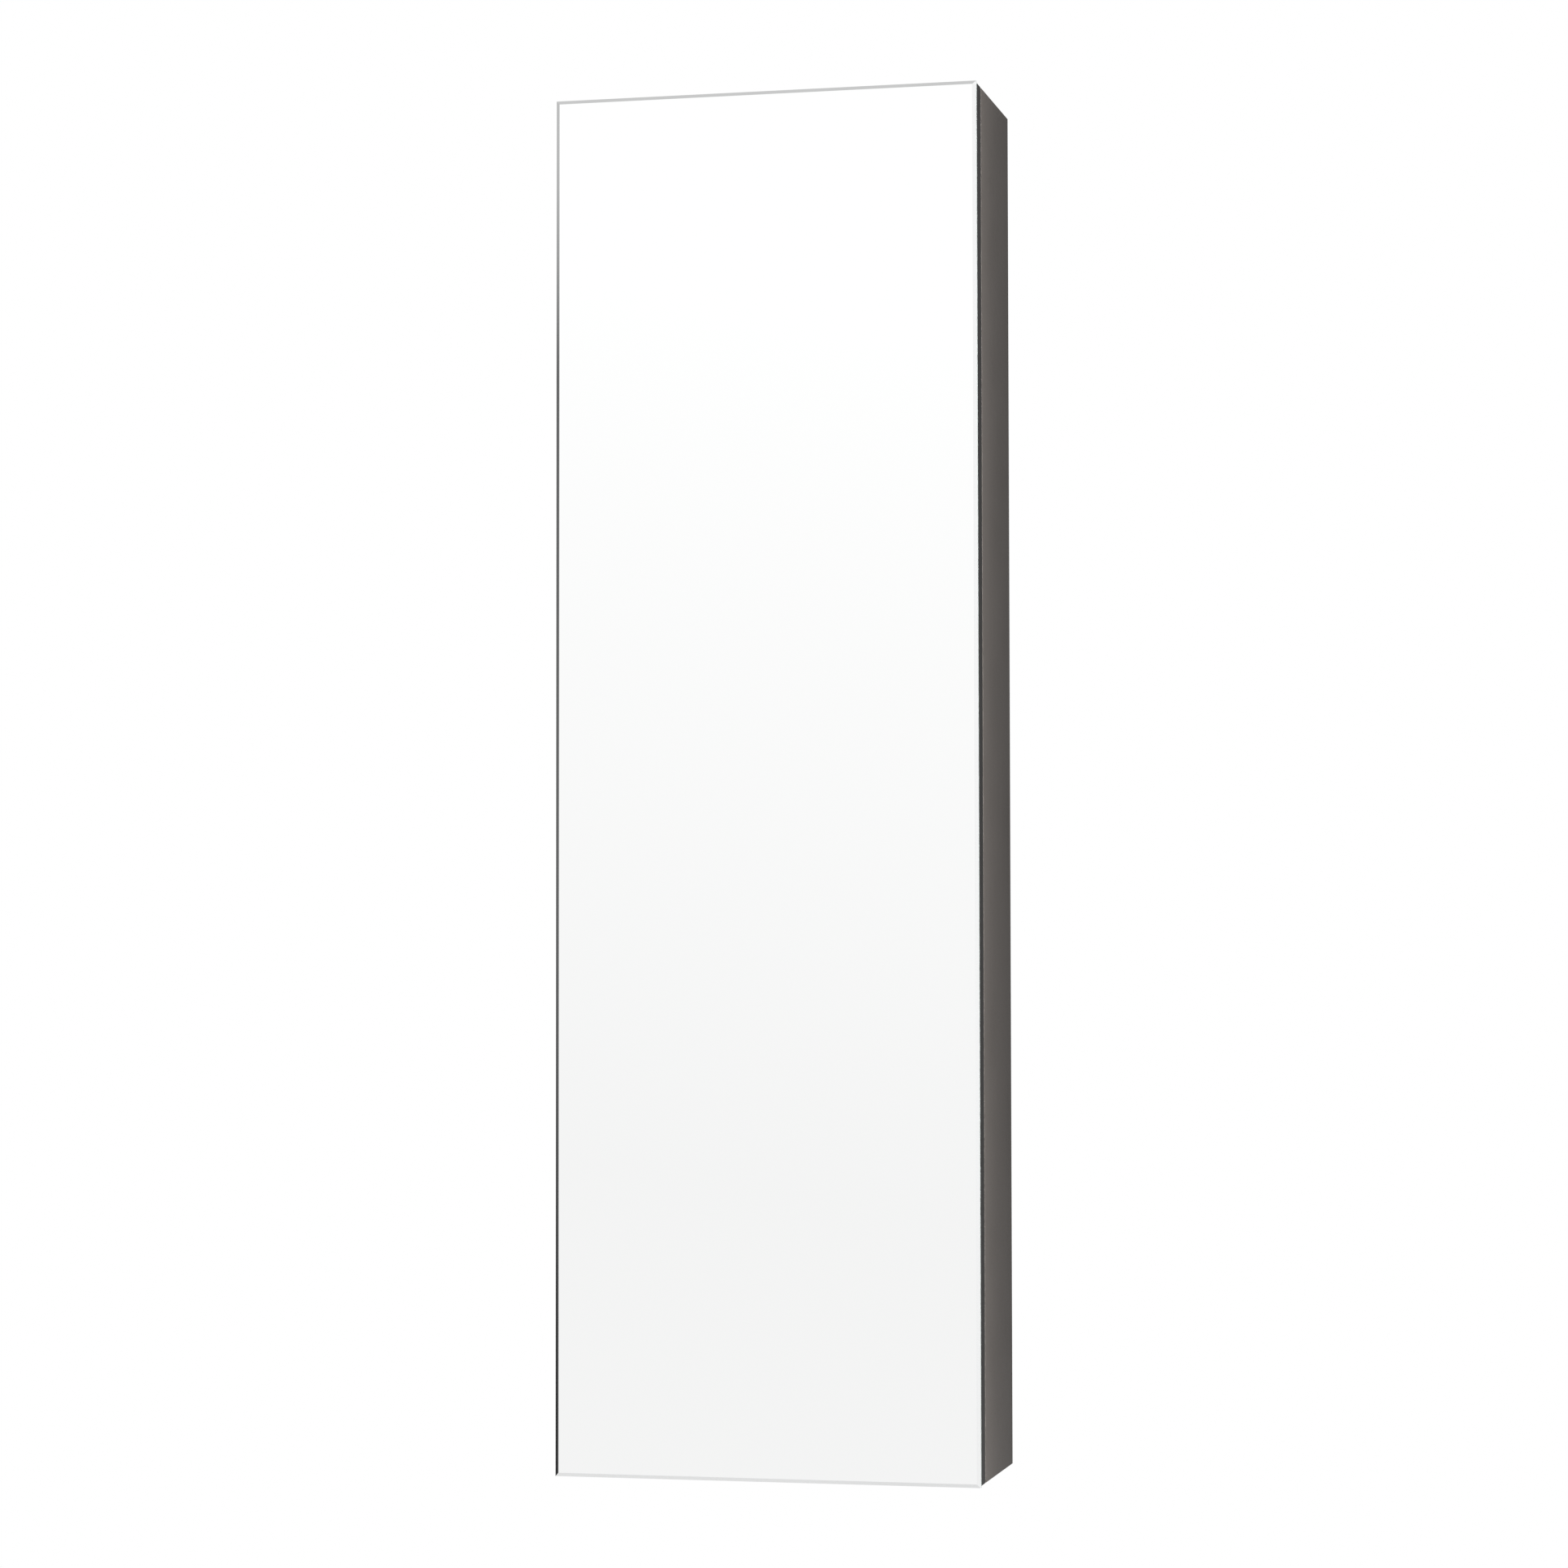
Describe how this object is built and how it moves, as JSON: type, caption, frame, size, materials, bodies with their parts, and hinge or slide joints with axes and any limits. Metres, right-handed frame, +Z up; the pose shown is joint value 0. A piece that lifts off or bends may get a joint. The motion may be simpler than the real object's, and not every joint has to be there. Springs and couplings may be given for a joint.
{
  "type": "hanging wall cabinet",
  "caption": "Tall, shallow wall cabinet with a full-height mirror door, hidden side hinges, inner shelves and a push latch.",
  "frame": {"origin": "on the wall, midway between the two screw holes of the wall rail", "axes": "+Z up, -Y out of the door's front, +X to the right of someone who faces the door; the wall is y = 0"},
  "size_m": [0.35, 0.15, 1.123],
  "materials": {
    "graphite_board": "satin graphite decor on particle board",
    "graphite_band": "graphite edge band",
    "black_board": "near-black decor on particle board",
    "black_band": "near-black edge band",
    "back_board": "lacquered fibreboard",
    "mirror": "silvered float glass",
    "foam_tape": "double-sided foam tape",
    "clear_glass": "clear toughened glass",
    "zinc_steel": "zinc-plated steel",
    "nickel_steel": "nickel-plated steel",
    "cast_zinc": "die-cast zinc alloy",
    "beech": "fluted beech",
    "grey_plastic": "moulded plastic",
    "dark_plastic": "moulded plastic",
    "clear_rubber": "clear bumper rubber",
    "magnet": "sintered magnet"
  },
  "bodies": {
    "carcass": {"back_panel": "back_board", "bottom_band": "graphite_band", "bottom_panel": "graphite_board", "cam_bolts": "zinc_steel", "cam_caps": "dark_plastic", "cam_locks": "cast_zinc", "dowels": "beech", "glass_shelf_centre": "clear_glass", "glass_shelf_lower": "clear_glass", "glass_shelf_upper": "clear_glass", "hanger_adjust_screws": "zinc_steel", "hanger_casing_left": "grey_plastic", "hanger_casing_right": "grey_plastic", "hanger_cover_left": "dark_plastic", "hanger_cover_right": "dark_plastic", "hanger_fixing_screws": "zinc_steel", "hanger_hook_left": "zinc_steel", "hanger_hook_right": "zinc_steel", "hinge_adjust_screws": "zinc_steel", "hinge_arm_lower": "nickel_steel", "hinge_arm_middle": "nickel_steel", "hinge_arm_upper": "nickel_steel", "hinge_plate_lower": "nickel_steel", "hinge_plate_middle": "nickel_steel", "hinge_plate_screws": "nickel_steel", "hinge_plate_upper": "nickel_steel", "latch_housing": "grey_plastic", "latch_screws": "zinc_steel", "middle_shelf": "graphite_board", "shelf_band": "graphite_band", "shelf_pads": "clear_rubber", "shelf_supports_centre": "zinc_steel", "shelf_supports_lower": "zinc_steel", "shelf_supports_upper": "zinc_steel", "side_band_left": "graphite_band", "side_band_right": "graphite_band", "side_panel_left": "graphite_board", "side_panel_right": "graphite_board", "top_band": "graphite_band", "top_panel": "graphite_board", "wall_rail": "zinc_steel"},
    "door": {"door_board": "black_board", "door_band_left": "black_band", "door_band_right": "black_band", "door_band_top": "black_band", "door_band_bottom": "black_band", "mirror_glass": "mirror", "mirror_tape": "foam_tape", "door_bumpers": "clear_rubber", "hinge_cup_lower": "nickel_steel", "hinge_cup_middle": "nickel_steel", "hinge_cup_upper": "nickel_steel", "hinge_cup_screws": "nickel_steel", "hinge_pins": "zinc_steel", "strike_plate": "zinc_steel", "strike_screw": "zinc_steel"},
    "latch_plunger": {"latch_plunger": "dark_plastic", "latch_magnet": "magnet"}
  },
  "joints": [
    {"name": "door_swing", "type": "hinge", "parent": "carcass", "child": "door", "pos_m": [-0.168, -0.1387, -0.5], "axis": [0, 0, -1], "range_deg": [0, 95]},
    {"name": "plunger_slide", "type": "slide", "parent": "carcass", "child": "latch_plunger", "axis": [0, -1, 0], "range_m": [0, 0.014]}
  ],
  "couplings": [
    {"joint": "plunger_slide", "follows": "door_swing", "m_per_rad": 0.0084}
  ]
}
